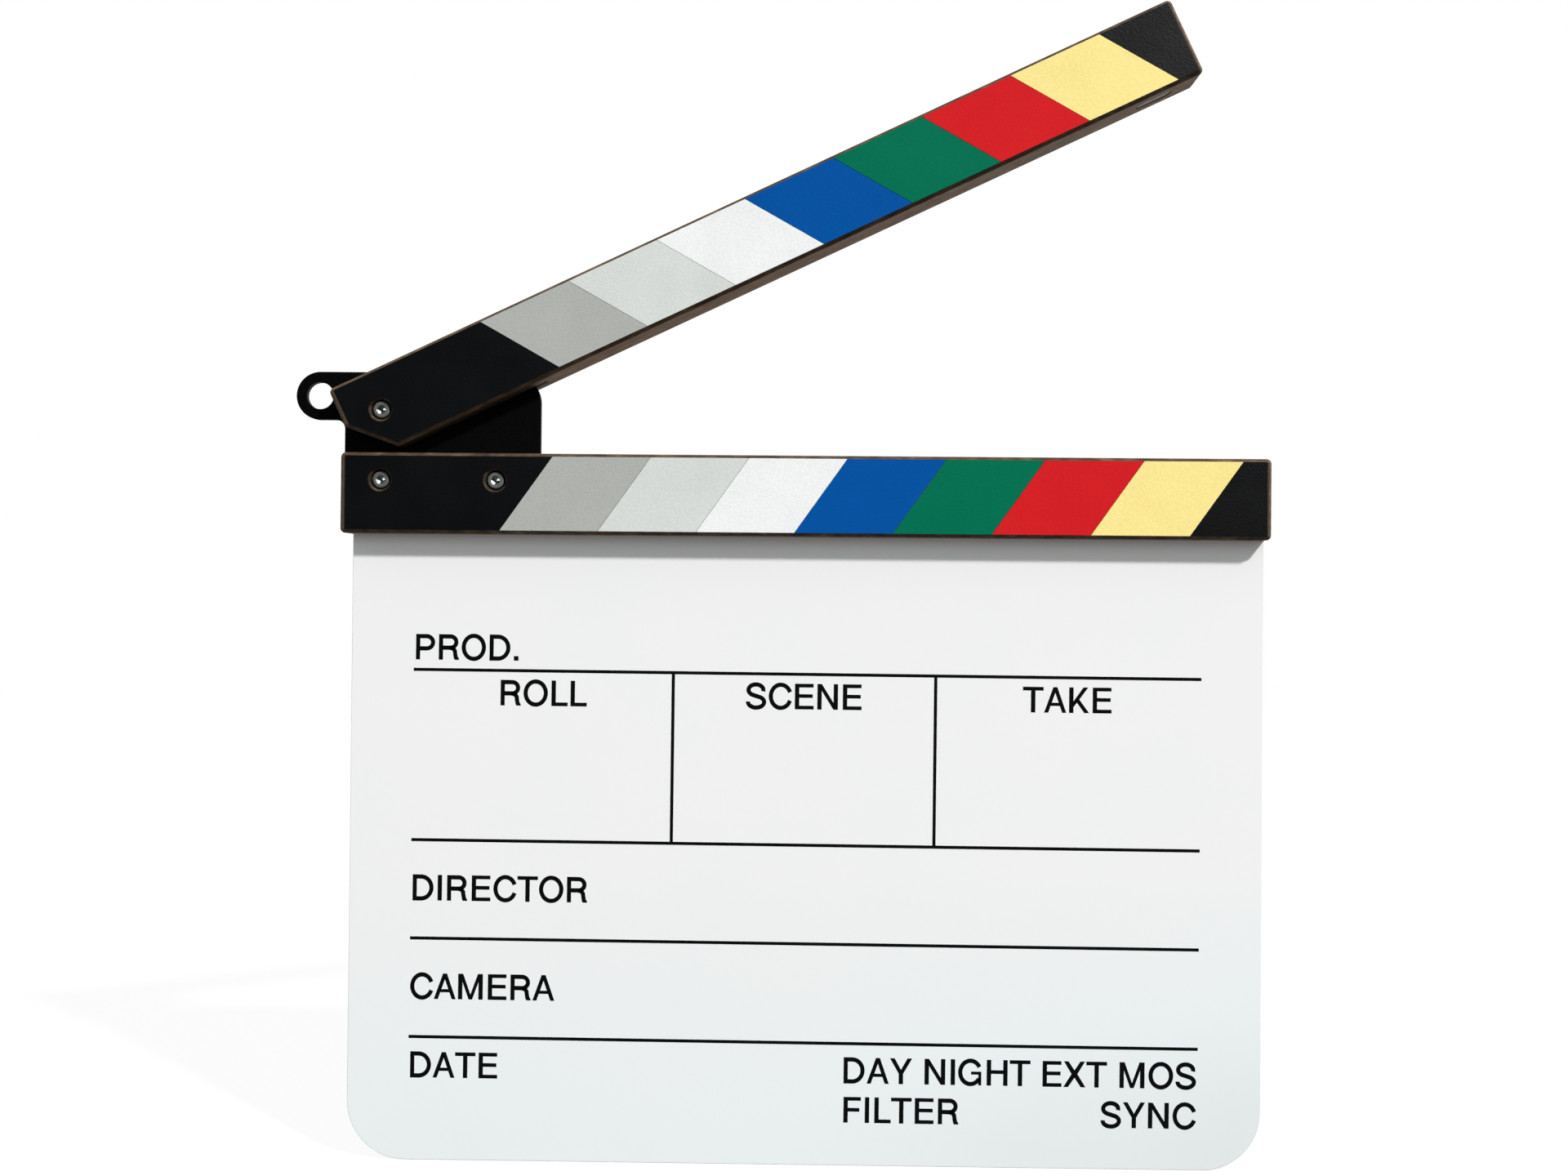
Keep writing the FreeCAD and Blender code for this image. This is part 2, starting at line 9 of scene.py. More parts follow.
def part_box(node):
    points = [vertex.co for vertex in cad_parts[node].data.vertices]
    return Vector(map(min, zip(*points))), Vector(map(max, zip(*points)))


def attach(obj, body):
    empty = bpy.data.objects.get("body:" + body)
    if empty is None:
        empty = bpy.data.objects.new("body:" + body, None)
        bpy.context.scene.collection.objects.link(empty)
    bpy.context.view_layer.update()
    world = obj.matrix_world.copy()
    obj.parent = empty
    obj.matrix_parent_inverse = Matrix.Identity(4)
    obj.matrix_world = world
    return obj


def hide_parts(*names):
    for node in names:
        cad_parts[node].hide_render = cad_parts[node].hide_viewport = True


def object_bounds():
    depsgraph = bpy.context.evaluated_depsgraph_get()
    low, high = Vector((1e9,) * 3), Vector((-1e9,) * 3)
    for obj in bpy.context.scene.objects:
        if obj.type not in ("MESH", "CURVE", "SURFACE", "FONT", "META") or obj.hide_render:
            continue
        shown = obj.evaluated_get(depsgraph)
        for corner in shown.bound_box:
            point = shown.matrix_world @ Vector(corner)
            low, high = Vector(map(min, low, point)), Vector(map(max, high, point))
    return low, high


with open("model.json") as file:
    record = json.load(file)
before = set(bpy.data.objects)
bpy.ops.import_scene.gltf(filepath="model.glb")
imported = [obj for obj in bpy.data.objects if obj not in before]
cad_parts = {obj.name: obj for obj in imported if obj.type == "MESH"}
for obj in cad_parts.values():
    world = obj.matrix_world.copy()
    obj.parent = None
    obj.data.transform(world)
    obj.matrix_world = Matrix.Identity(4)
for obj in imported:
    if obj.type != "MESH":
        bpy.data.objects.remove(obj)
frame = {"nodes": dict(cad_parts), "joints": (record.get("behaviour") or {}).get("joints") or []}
cad_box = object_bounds()

# A film clapperboard in metres: +Z is up, the printed front faces -Y, and the slate stands on z = 0.

MM = 0.001

# The hinge, how far each stick is turned about it, and what each stick rides on and holds
HINGE = next(joint for joint in frame["joints"] if joint["name"] == "clap_hinge")
PIVOT = Vector(HINGE["pos_m"])
STICK_TURNS = {"lower": 0, "upper": math.radians(HINGE["range_deg"][0])}
STICK_BODIES = {"lower": "slate", "upper": "clap_stick"}
STICK_SCREWS = {"lower": ("plate_screw_left", "plate_screw_right"), "upper": ("pivot_screw",)}


# Helpers


def add_object(name, data):
    """A new object in the scene."""
    item = bpy.data.objects.new(name, data)
    bpy.context.scene.collection.objects.link(item)
    return item


def finished_mesh(bm, name):
    """The mesh of a shape, with its faces turned outwards."""
    bmesh.ops.recalc_face_normals(bm, faces=bm.faces)
    mesh = bpy.data.meshes.new(name)
    bm.to_mesh(mesh)
    bm.free()
    return mesh


def screw_front(node):
    """The middle of a screw's front."""
    low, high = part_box(node)
    return Vector(((low.x + high.x) / 2, low.y, (low.z + high.z) / 2))


def scaled(colour, factor):
    return tuple(channel * factor for channel in colour)


class Nodes:
    """A node tree, and short ways to add to it. A value is a plain one or another node's output."""

    def __init__(self, tree, family="ShaderNode"):
        self.tree = tree
        self.family = family

    def join(self, node, values):
        """Sets or links a node's inputs."""
        for socket, value in values.items():
            if isinstance(value, bpy.types.NodeSocket):
                self.tree.links.new(value, node.inputs[socket])
            else:
                node.inputs[socket].default_value = value

    def add(self, kind, values=None, **settings):
        node = self.tree.nodes.new(f"{self.family}{kind}")
        for setting, value in settings.items():
            setattr(node, setting, value)
        self.join(node, values or {})
        return node

    def maths(self, operation, *values):
        return self.add("Math", dict(enumerate(values)), operation=operation).outputs[0]

    def weigh(self, *parts):
        """The sum of values, each times its weight."""
        total = 0
        for value, weight in parts:
            total = self.maths("MULTIPLY_ADD", value, weight, total)
        return total

    def spread(self, value, low, high, new_low=0, new_high=1, **settings):
        """A value carried from one range to another, and held inside it."""
        values = {"Value": value, "From Min": low, "From Max": high, "To Min": new_low, "To Max": new_high}
        return self.add("MapRange", values, **settings).outputs[0]

    def mix(self, factor, first, second, blend="MIX"):
        values = {"Factor": factor, "A": first, "B": second}
        return self.add("Mix", values, data_type="RGBA", blend_type=blend).outputs["Result"]

    def axes(self, place):
        """The X, Y and Z of a place."""
        return self.add("SeparateXYZ", {0: place}).outputs


# The range that cloudy noise mostly fills
NOISE_SPAN = (0.3, 0.7)


class Finish(Nodes):
    """A material with one Principled shader, and short ways to make its pattern."""

    def __init__(self, name, values):
        self.material = bpy.data.materials.new(name)
        self.material.use_nodes = True
        super().__init__(self.material.node_tree)
        self.shader = self.tree.nodes["Principled BSDF"]
        self.join(self.shader, values)

    def place(self, stretch=(1, 1, 1), about=(0, 0, 0), turn=0):
        """The piece's own coordinates, about a point, turned about Y and stretched along each axis."""
        coordinates = self.add("TexCoord").outputs["Object"]
        values = {"Vector": coordinates, "Location": about, "Rotation": (0, turn, 0), "Scale": stretch}
        return self.add("Mapping", values, vector_type="TEXTURE").outputs[0]

    def noise(self, place, size, detail=3, roughness=0.5):
        """Cloudy noise whose lumps are about the given size."""
        values = {"Vector": place, "Scale": 1 / size, "Detail": detail, "Roughness": roughness}
        return self.add("TexNoise", values).outputs["Fac"]

    def cells(self, place, size, softness):
        """The distance to the nearest of scattered points that lie about the given size apart."""
        values = {"Vector": place, "Scale": 1 / size, "Smoothness": softness}
        return self.add("TexVoronoi", values, feature="SMOOTH_F1").outputs["Distance"]

    def between(self, noise, low, high):
        """Noise carried to a range of values."""
        return self.spread(noise, *NOISE_SPAN, low, high)

    def ramp(self, factor, *stops):
        """Colours, each at its place between 0 and 1."""
        node = self.add("ValToRGB", {"Fac": factor})
        points = node.color_ramp.elements
        while len(points) < len(stops):
            points.new(1)
        for point, (position, colour) in zip(points, stops):
            point.position = position
            point.color = (*colour, 1)
        return node.outputs["Color"]

    def tint(self, noise, dark, pale):
        """Noise carried to a range of colours."""
        return self.ramp(noise, *zip(NOISE_SPAN, (dark, pale)))

    def bump(self, height, depth, strength):
        """Raises the surface by the depth where the height is one."""
        values = {"Height": height, "Distance": depth, "Strength": strength}
        self.feed("Normal", self.add("Bump", values).outputs[0])

    def feed(self, socket, output):
        self.join(self.shader, {socket: output})


# Camera, light and stage

CAMERA_PLACE = Vector((-0.47, -454.88, 183.8)) * MM
CAMERA_YAW = math.radians(-0.733)
CAMERA_PITCH = math.radians(0.429)
CAMERA_ROLL = math.radians(0.51)
CAMERA_NEAR = 0.01
LENS = 31.97
SENSOR_WIDTH = 36

KEY_FROM = Vector((1.12, -1, 1.42)).normalized()
KEY_DISTANCE = 20
KEY_SIZE = 1.4
KEY_POWER = 5010

FILL_COLOUR = (0.95, 0.99, 1, 1)
FILL_LOW = 0.4
FILL_HIGH = 1.04
FILL_BEHIND = 1.3

BACKDROP_COLOUR = (1, 1, 1, 1)
FLOOR_SIZE = 4
FLOOR_SURFACE = {"Roughness": 0.9, "Specular IOR Level": 0.1}
FLOOR_BOUNCE = (0.12, 0.12, 0.12, 1)
FLOOR_PAINT = (0.8, 0.8, 0.8, 1)
FLOOR_GLOW = 0.9

# For glossy rays: the strength in front, and where it rises to white, by direction or by place on the floor
BACKDROP_FRONT = 0.08
BACKDROP_SLOPE = (-0.3, 0.4)
FLOOR_FRONT = 0
FLOOR_SLOPE = (-0.2, 0.5)


def aim(item, forward, roll=0):
    """Turns a camera or a lamp to look along a direction."""
    item.rotation_mode = "QUATERNION"
    item.rotation_quaternion = forward.to_track_quat("-Z", "Y") @ Quaternion((0, 0, 1), roll)


def make_camera():
    level = math.cos(CAMERA_PITCH)
    forward = (math.sin(CAMERA_YAW) * level, math.cos(CAMERA_YAW) * level, math.sin(CAMERA_PITCH))
    data = bpy.data.cameras.new("camera")
    data.lens = LENS
    data.sensor_width = SENSOR_WIDTH
    data.clip_start = CAMERA_NEAR
    camera = add_object("camera", data)
    camera.location = CAMERA_PLACE
    aim(camera, Vector(forward), CAMERA_ROLL)
    bpy.context.scene.camera = camera


def make_key_light():
    middle = (cad_box[0] + cad_box[1]) / 2
    data = bpy.data.lights.new("key_light", "AREA")
    data.shape = "DISK"
    data.size = KEY_SIZE
    data.energy = KEY_POWER
    lamp = add_object("key_light", data)
    lamp.location = middle + KEY_FROM * KEY_DISTANCE
    aim(lamp, -KEY_FROM)


def seen_directly(nodes):
    """One for camera, glossy and transmission rays, which see the plain white background."""
    path = nodes.add("LightPath").outputs
    mirrored = nodes.maths("MAXIMUM", path["Is Glossy Ray"], path["Is Transmission Ray"])
    return nodes.maths("MAXIMUM", path["Is Camera Ray"], mirrored)


def backdrop_strength(nodes, place, slope, front):
    """White for all but glossy rays, which find it behind the object and a dim room in front."""
    depth = nodes.axes(place)["Y"]
    behind = nodes.spread(depth, *slope, front, 1, interpolation_type="SMOOTHSTEP")
    glossy = nodes.add("LightPath").outputs["Is Glossy Ray"]
    return nodes.maths("MAXIMUM", nodes.maths("SUBTRACT", 1, glossy), behind)


def fill_strength(nodes, direction):
    """Soft light that grows from the horizon to overhead, and low down towards the back."""
    axes = nodes.axes(direction)
    height = nodes.spread(axes["Z"], 0, 1, FILL_LOW, FILL_HIGH)
    low_behind = nodes.maths("SUBTRACT", axes["Y"], axes["Z"])
    return nodes.maths("ADD", height, nodes.spread(low_behind, 0, 1, 0, FILL_BEHIND))


def make_world():
    world = bpy.data.worlds.new("white_room")
    world.use_nodes = True
    nodes = Nodes(world.node_tree)
    direction = nodes.add("TexCoord").outputs["Generated"]
    fill = nodes.tree.nodes["Background"]
    nodes.join(fill, {"Color": FILL_COLOUR, "Strength": fill_strength(nodes, direction)})
    strength = backdrop_strength(nodes, direction, BACKDROP_SLOPE, BACKDROP_FRONT)
    white = nodes.add("Background", {"Color": BACKDROP_COLOUR, "Strength": strength})
    choice = nodes.add("MixShader", {"Fac": seen_directly(nodes), 1: fill.outputs[0], 2: white.outputs[0]})
    nodes.join(nodes.tree.nodes["World Output"], {"Surface": choice.outputs[0]})
    bpy.context.scene.world = world


def floor_finish():
    """Matte paint that looks nearly white, keeps a faint shadow and throws little light back up."""
    finish = Finish("pale_floor", FLOOR_SURFACE)
    to_camera = finish.add("LightPath").outputs["Is Camera Ray"]
    finish.feed("Base Color", finish.mix(to_camera, FLOOR_BOUNCE, FLOOR_PAINT))
    place = finish.add("NewGeometry").outputs["Position"]
    glow = finish.add("Emission", {"Strength": backdrop_strength(finish, place, FLOOR_SLOPE, FLOOR_FRONT)})
    share = finish.maths("MULTIPLY", seen_directly(finish), FLOOR_GLOW)
    choice = finish.add("MixShader", {"Fac": share, 1: finish.shader.outputs[0], 2: glow.outputs[0]})
    finish.join(finish.tree.nodes["Material Output"], {"Surface": choice.outputs[0]})
    return finish.material


def make_floor():
    half = FLOOR_SIZE / 2
    level = cad_box[0].z
    corners = [(-half, -half, level), (half, -half, level), (half, half, level), (-half, half, level)]
    mesh = bpy.data.meshes.new("floor")
    mesh.from_pydata(corners, [], [(0, 1, 2, 3)])
    mesh.materials.append(floor_finish())
    add_object("floor", mesh)


# Places on the sticks, for their finishes


def along_stick(finish, stick, stretch=1):
    """Coordinates about the hinge with X along a stick, where a pattern may be stretched."""
    return finish.place((stretch, 1, 1), PIVOT, STICK_TURNS[stick])


def end_distances(finish, stick):
    """How far a point is from the hinge end of a stick, and from its nearer end."""
    level = Quaternion((0, 1, 0), -STICK_TURNS[stick])
    corners = frame["nodes"][f"{stick}_stick"].data.vertices
    lengths = [(level @ (corner.co - PIVOT)).x for corner in corners]
    along = finish.axes(along_stick(finish, stick))["X"]
    from_hinge_end = finish.maths("SUBTRACT", along, min(lengths))
    from_free_end = finish.maths("SUBTRACT", max(lengths), along)
    return from_hinge_end, finish.maths("MINIMUM", from_hinge_end, from_free_end)


# Film on the sticks: pebbled vinyl in stripes, and in black at the ends and behind

STRIPE_COLOURS = {
    "mid_grey": (0.418, 0.426, 0.4),
    "light_grey": (0.658, 0.679, 0.648),
    "white": (0.855, 0.855, 0.85),
    "blue": (0.0004, 0.0815, 0.34),
    "green": (0.0003, 0.156, 0.079),
    "red": (0.64, 0.0135, 0.0175),
    "yellow": (0.95, 0.78, 0.29),
}
STRIPE_GLOSS = 0.04
STRIPE_RELIEF = 0.55
BLACK_FILM = (0.0014, 0.0018, 0.0026)
BLACK_GLOSS = 0.25
BLACK_RELIEF = 1
FILM_ROUGHNESS = (0.41, 0.5)
PEBBLE_SIZE = 0.7 * MM
PEBBLE_SOFTNESS = 0.6
PEBBLE_SPAN = (0.05, 0.65)
PEBBLE_DEPTH = 0.03 * MM
FILM_GRAIN = 0.35 * MM
FILM_GRAIN_SPAN = (0.2, 1.1)
FILM_CLOUDS = 14 * MM
# Painted shade in the pebbles' pits and painted light on their peaks
PIT_SHADE = 0.92
PEAK_LIGHT = 1.05
WORN_END = (1.35 * MM, 2.1 * MM)
WORN_RAGGEDNESS = 0.5 * MM
WORN_FIBRE = (0.105, 0.07, 0.045, 1)


def film_finish(name, colour, gloss, relief, worn_on=None):
    """Vinyl film with a fine pebbled grain, darker in the pits with painted shade, and rubbed bare at a
    stick's ends.
    """
    finish = Finish(name, {"Specular IOR Level": gloss})
    place = finish.place()
    pebbles = finish.spread(finish.cells(place, PEBBLE_SIZE, PEBBLE_SOFTNESS), *PEBBLE_SPAN, 1, 0)
    fine = finish.noise(place, FILM_GRAIN, 2)
    grain = finish.weigh((pebbles, 1), (fine, 0.35))
    cloud = finish.noise(place, FILM_CLOUDS)
    # A tone from painted shade in the pits and a random cloud
    tone = finish.weigh((finish.spread(grain, *FILM_GRAIN_SPAN), 0.6), (finish.between(cloud, 0, 1), 0.4))
    shade = finish.ramp(tone, (0, scaled(colour, PIT_SHADE)), (1, scaled(colour, PEAK_LIGHT)))
    if worn_on:
        from_end = end_distances(finish, worn_on)[1]
        ragged = finish.maths("MULTIPLY_ADD", fine, WORN_RAGGEDNESS, from_end)
        shade = finish.mix(finish.spread(ragged, *WORN_END, 1, 0), shade, WORN_FIBRE)
    finish.feed("Base Color", shade)
    finish.feed("Roughness", finish.between(cloud, *FILM_ROUGHNESS))
    finish.bump(grain, PEBBLE_DEPTH, relief)
    return finish.material


# Fibreboard of the sticks

FIBRES = {"size": 1.1 * MM, "stretch": 9, "detail": 5, "roughness": 0.65}
THREADS = {"size": 0.28 * MM, "stretch": 14, "detail": 3, "roughness": 0.6}
PATCHES = {"size": 2.4 * MM, "stretch": 2.2, "detail": 4, "roughness": 0.6}
FIBRE_GLOSS = 0.2
FIBRE_ROUGHNESS = (0.75, 0.6)
FIBRE_DEPTH = 0.12 * MM
FIBRE_RELIEF = 0.7

# Colours from dark to pale, each at its place: the raw flat edges, the chamfers' skin and the painted shade
# of the recesses
EDGE_FIBRE = (
    (0.05, (0.16, 0.101, 0.062)),
    (0.45, (0.265, 0.17, 0.106)),
    (0.95, (0.38, 0.25, 0.16)),
)
SKIN_FIBRE = (
    (0.38, (0.03, 0.0168, 0.0096)),
    (0.56, (0.07, 0.0435, 0.0262)),
    (0.72, (0.14, 0.0945, 0.055)),
)
RECESS_SHADE_FIBRE = (
    (0.35, (0.008, 0.004, 0.0025)),
    (0.7, (0.085, 0.052, 0.032)),
)

# How deep the skin of the chamfers goes, where it is rubbed, and how much on each stick
SKIN_DEPTH = (1.3 * MM, 0.95 * MM)
END_RUB_REACH = (0.9 * MM, 1.3 * MM)
END_RUB = {"lower": 0.1, "upper": 0.25}
HINGE_RUB_REACH = (15 * MM, 140 * MM)
HINGE_RUB = {"lower": 0, "upper": 0.08}

RECESS_RIM = (4.6 * MM, 5 * MM)
RECESS_RAGGEDNESS = 0.8 * MM

# Painted shade beside the hinge plate, standing in for its shadow on the meeting edges: how near the meeting
# edges, how it fades out, and how dark
PLATE_SHADE_DEPTH = (0.9 * MM, 1.1 * MM)
PLATE_SHADE_FADE = 5 * MM
PLATE_SHADE_LEVEL = 0.2


def drawn_out_noise(finish, stick, size, stretch, detail, roughness):
    """Cloudy noise with lumps of about the given size, drawn out along a stick."""
    return finish.noise(along_stick(finish, stick, stretch), size, detail, roughness)


def screw_recess(finish, stick, ragged):
    """One in the drilled recesses of a stick's screws, with a ragged rim; painted shade darkens the board
    there.
    """
    flat = finish.add("VectorMath", {0: finish.place(), 1: (1, 0, 1)}, operation="MULTIPLY").outputs[0]
    away = 1
    for node in STICK_SCREWS[stick]:
        front = screw_front(node)
        centre = (front.x, 0, front.z)
        to_screw = finish.add("VectorMath", {0: flat, 1: centre}, operation="DISTANCE").outputs["Value"]
        away = finish.maths("MINIMUM", away, to_screw)
    rim = finish.maths("MULTIPLY_ADD", ragged, RECESS_RAGGEDNESS, away)
    return finish.spread(rim, *RECESS_RIM, 1, 0)


def plate_shade(finish, stick, from_hinge_end):
    """Painted shade that darkens the edges where the sticks meet, as far as the hinge plate reaches."""
    low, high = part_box("lower_stick")
    level = finish.axes(along_stick(finish, stick))["Z"]
    from_meeting = finish.maths("ABSOLUTE", finish.maths("SUBTRACT", level, high.z - PIVOT.z))
    off_meeting = finish.spread(from_meeting, *PLATE_SHADE_DEPTH)
    plate_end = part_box("hinge_plate")[1].x - low.x
    fade = (plate_end - PLATE_SHADE_FADE, plate_end + PLATE_SHADE_FADE)
    return finish.maths("MAXIMUM", off_meeting, finish.spread(from_hinge_end, *fade, PLATE_SHADE_LEVEL, 1))


def skin_left(finish, stick, from_hinge_end, from_end):
    """One where the chamfers keep their dark skin, and less where it is rubbed off."""
    depth = finish.maths("ABSOLUTE", finish.axes(finish.place())["Y"])
    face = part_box("lower_stick")[1].y
    on_chamfer = finish.spread(depth, face - SKIN_DEPTH[0], face - SKIN_DEPTH[1])
    off_end = finish.spread(from_end, *END_RUB_REACH, 1 - END_RUB[stick], 1)
    off_hinge = finish.spread(from_hinge_end, *HINGE_RUB_REACH, 1 - HINGE_RUB[stick], 1)
    return finish.maths("MULTIPLY", on_chamfer, finish.maths("MINIMUM", off_end, off_hinge))


def fibreboard_finish(name, stick):
    """Dark brown fibreboard: long fibres on flat edges, a darker skin on chamfers, painted shade in the
    screw recesses and on the meeting edges beside the hinge plate.
    """
    finish = Finish(name, {"Specular IOR Level": FIBRE_GLOSS})
    fibres = drawn_out_noise(finish, stick, **FIBRES)
    threads = drawn_out_noise(finish, stick, **THREADS)
    patches = drawn_out_noise(finish, stick, **PATCHES)
    streaks = finish.weigh((threads, 0.45), (fibres, 0.55))
    tone = finish.weigh((finish.between(streaks, 0, 1), 0.6), (finish.between(patches, 0, 1), 0.4))
    from_hinge_end, from_end = end_distances(finish, stick)
    # Painted shade on the meeting edges beside the hinge plate, multiplied into the flat edges' colour
    painted_plate_shade = plate_shade(finish, stick, from_hinge_end)
    edge = finish.mix(1, finish.ramp(tone, *EDGE_FIBRE), painted_plate_shade, "MULTIPLY")
    skin = finish.ramp(finish.weigh((patches, 0.75), (streaks, 0.35)), *SKIN_FIBRE)
    board = finish.mix(skin_left(finish, stick, from_hinge_end, from_end), edge, skin)
    # Painted shade darkening the screw recesses
    recess_shade = finish.ramp(patches, *RECESS_SHADE_FIBRE)
    finish.feed("Base Color", finish.mix(screw_recess(finish, stick, patches), board, recess_shade))
    finish.feed("Roughness", finish.between(patches, *FIBRE_ROUGHNESS))
    finish.bump(streaks, FIBRE_DEPTH, FIBRE_RELIEF)
    return finish.material


# Acrylic of the slate

ACRYLIC_GLOSS = 0.3
ACRYLIC_ROUGHNESS = (0.36, 0.5)
ACRYLIC_GRAIN = 0.5 * MM
ACRYLIC_GRAIN_DEPTH = 0.004 * MM
ACRYLIC_RELIEF = 0.5
ACRYLIC_CLOUDS = 45 * MM
ACRYLIC_CLOUD_TONE = (-0.04, 0.08)

# Painted shade that greys the sheet: from the foot up to a height, from half at the middle to full at the
# right, and its colours
SHADE_HEIGHT = (5 * MM, 95 * MM)
SHADE_RIGHT = 140 * MM
SHADE_AT_MIDDLE = 0.5
WHITE_TO_SHADED = (
    (0, (0.853, 0.847, 0.838)),
    (0.5, (0.808, 0.838, 0.842)),
    (1, (0.75, 0.773, 0.78)),
)
WIPE_SIZE = 0.7 * MM
WIPE_STRETCH = (30, 1, 2.2)
WIPE_SLANT = math.radians(24)


def acrylic_finish():
    """Satin white acrylic, greyer towards its foot and right with painted shade, and with fine wipe marks in
    its gloss.
    """
    finish = Finish("white_acrylic", {"Specular IOR Level": ACRYLIC_GLOSS})
    place = finish.place()
    axes = finish.axes(place)
    # Painted shade, with a faint random cloud in it
    low = finish.spread(axes["Z"], *SHADE_HEIGHT, 1, 0)
    right = finish.spread(axes["X"], 0, SHADE_RIGHT, SHADE_AT_MIDDLE, 1)
    cloud = finish.between(finish.noise(place, ACRYLIC_CLOUDS), *ACRYLIC_CLOUD_TONE)
    painted_shade = finish.maths("MULTIPLY_ADD", low, right, cloud)
    finish.feed("Base Color", finish.ramp(painted_shade, *WHITE_TO_SHADED))
    wipes = finish.noise(finish.place(WIPE_STRETCH, turn=WIPE_SLANT), WIPE_SIZE, 4, 0.7)
    finish.feed("Roughness", finish.between(wipes, *ACRYLIC_ROUGHNESS))
    finish.bump(finish.noise(place, ACRYLIC_GRAIN, 2), ACRYLIC_GRAIN_DEPTH, ACRYLIC_RELIEF)
    return finish.material


# Black coat of the hinge plate

PEEL_SIZE = 0.55 * MM
PEEL_DEPTH = 0.02 * MM
PEEL_RELIEF = 0.6
COAT_GLOSS = 0.08
COAT_DARK = (0.0007, 0.0007, 0.0011)
COAT_PALE = (0.002, 0.002, 0.0027)
COAT_ROUGHNESS = (0.42, 0.58)


def coated_plate_finish():
    """Black powder coat: a tight orange-peel skin."""
    finish = Finish("black_plate", {"Specular IOR Level": COAT_GLOSS})
    peel = finish.noise(finish.place(), PEEL_SIZE, 3, 0.6)
    finish.feed("Base Color", finish.tint(peel, COAT_DARK, COAT_PALE))
    finish.feed("Roughness", finish.between(peel, *COAT_ROUGHNESS))
    finish.bump(peel, PEEL_DEPTH, PEEL_RELIEF)
    return finish.material


# Plated metal of the screws, nuts and magnets

ZINC = (0.55, 0.59, 0.565)
NICKEL = (0.2, 0.2, 0.195)
SPOT_SIZE = 0.8 * MM
SCUFF_SIZE = 0.25 * MM
SCUFF_STRETCH = (1, 1, 12)
SCUFF_SLANT = math.radians(35)
SCUFF_DEPTH = 0.006 * MM
SCUFF_RELIEF = 0.6
METAL_ROUGHNESS = (0.58, 0.42)
DULL_TONE = 0.72
BRIGHT_TONE = 1.15
LATHE_RING = 0.12 * MM
SMOOTH_MIDDLE = (1.2 * MM, 1.5 * MM)
SMOOTH_SHARE = 0.5


def plated_finish(name, colour, turned=False):
    """Plated metal with scuffs and small dull spots. Turned metal has lathe rings and a smoother middle."""
    finish = Finish(name, {"Metallic": 1})
    spots = finish.noise(finish.place(), SPOT_SIZE, 4, 0.65)
    scuffs = finish.noise(finish.place(SCUFF_STRETCH, turn=SCUFF_SLANT), SCUFF_SIZE, 3, 0.6)
    tone = finish.weigh((scuffs, 0.4), (spots, 0.6))
    finish.feed("Base Color", finish.tint(tone, scaled(colour, DULL_TONE), scaled(colour, BRIGHT_TONE)))
    roughness = finish.between(tone, *METAL_ROUGHNESS)
    height = scuffs
    if turned:
        radius = finish.add("Attribute", attribute_name="turned_radius").outputs["Fac"]
        share = finish.spread(radius, *SMOOTH_MIDDLE, SMOOTH_SHARE, 1)
        roughness = finish.maths("MULTIPLY", roughness, share)
        rings = finish.maths("SINE", finish.maths("MULTIPLY", radius, 2 * math.pi / LATHE_RING))
        height = finish.weigh((scuffs, 1), (rings, 0.3))
    finish.feed("Roughness", roughness)
    finish.bump(height, SCUFF_DEPTH, SCUFF_RELIEF)
    return finish.material


# Nylon of the lock ring

NYLON_CLOUDS = 0.9 * MM
NYLON_DARK = (0.5, 0.56, 0.62)
NYLON_PALE = (0.66, 0.71, 0.75)
NYLON_SURFACE = {"Roughness": 0.45, "Subsurface Weight": 0.3, "Subsurface Scale": 0.5 * MM}


def nylon_finish():
    """Milky nylon with a faint cloud in its tone."""
    finish = Finish("nylon", NYLON_SURFACE)
    cloud = finish.noise(finish.place(), NYLON_CLOUDS)
    finish.feed("Base Color", finish.tint(cloud, NYLON_DARK, NYLON_PALE))
    return finish.material


# Ink of the print

INK_GRAIN = 0.3 * MM
INK_GRAIN_DEPTH = 0.004 * MM
INK_RELIEF = 0.5
INK_GLOSS = 0.06
INK_DARK = (0.0018, 0.002, 0.0023)
INK_PALE = (0.0045, 0.0047, 0.005)
INK_ROUGHNESS = (0.4, 0.52)


def ink_finish():
    """Screen-printed black ink with a fine grain in its tone."""
    finish = Finish("black_ink", {"Specular IOR Level": INK_GLOSS})
    grain = finish.noise(finish.place(), INK_GRAIN)
    finish.feed("Base Color", finish.tint(grain, INK_DARK, INK_PALE))
    finish.feed("Roughness", finish.between(grain, *INK_ROUGHNESS))
    finish.bump(grain, INK_GRAIN_DEPTH, INK_RELIEF)
    return finish.material


def dress_cad_nodes():
    """Gives each construction piece the finish of its material."""
    finishes = {
        "slate_board": acrylic_finish(),
        "hinge_plate": coated_plate_finish(),
        "pivot_lock_ring": nylon_finish(),
    }
    for colour_name, colour in STRIPE_COLOURS.items():
        film = film_finish(f"{colour_name}_film", colour, STRIPE_GLOSS, STRIPE_RELIEF)
        for stick in STICK_TURNS:
            finishes[f"{stick}_stripe_{colour_name}"] = film
    for stick in STICK_TURNS:
        finishes[f"{stick}_stick"] = fibreboard_finish(f"{stick}_fibreboard", stick)
        black = film_finish(f"{stick}_black_film", BLACK_FILM, BLACK_GLOSS, BLACK_RELIEF, worn_on=stick)
        for stretch in ("film_hinge_end", "film_free_end", "film_rear"):
            finishes[f"{stick}_{stretch}"] = black
    zinc = plated_finish("zinc_nuts", ZINC)
    for nut in ("plate_nut_left", "plate_nut_right", "pivot_lock_nut"):
        finishes[nut] = zinc
    nickel = plated_finish("magnet_nickel", NICKEL)
    for magnet in ("lower_magnet", "upper_magnet"):
        finishes[magnet] = nickel
    for node, material in finishes.items():
        for place in frame["nodes"][node].material_slots:
            place.material = material


# Screws

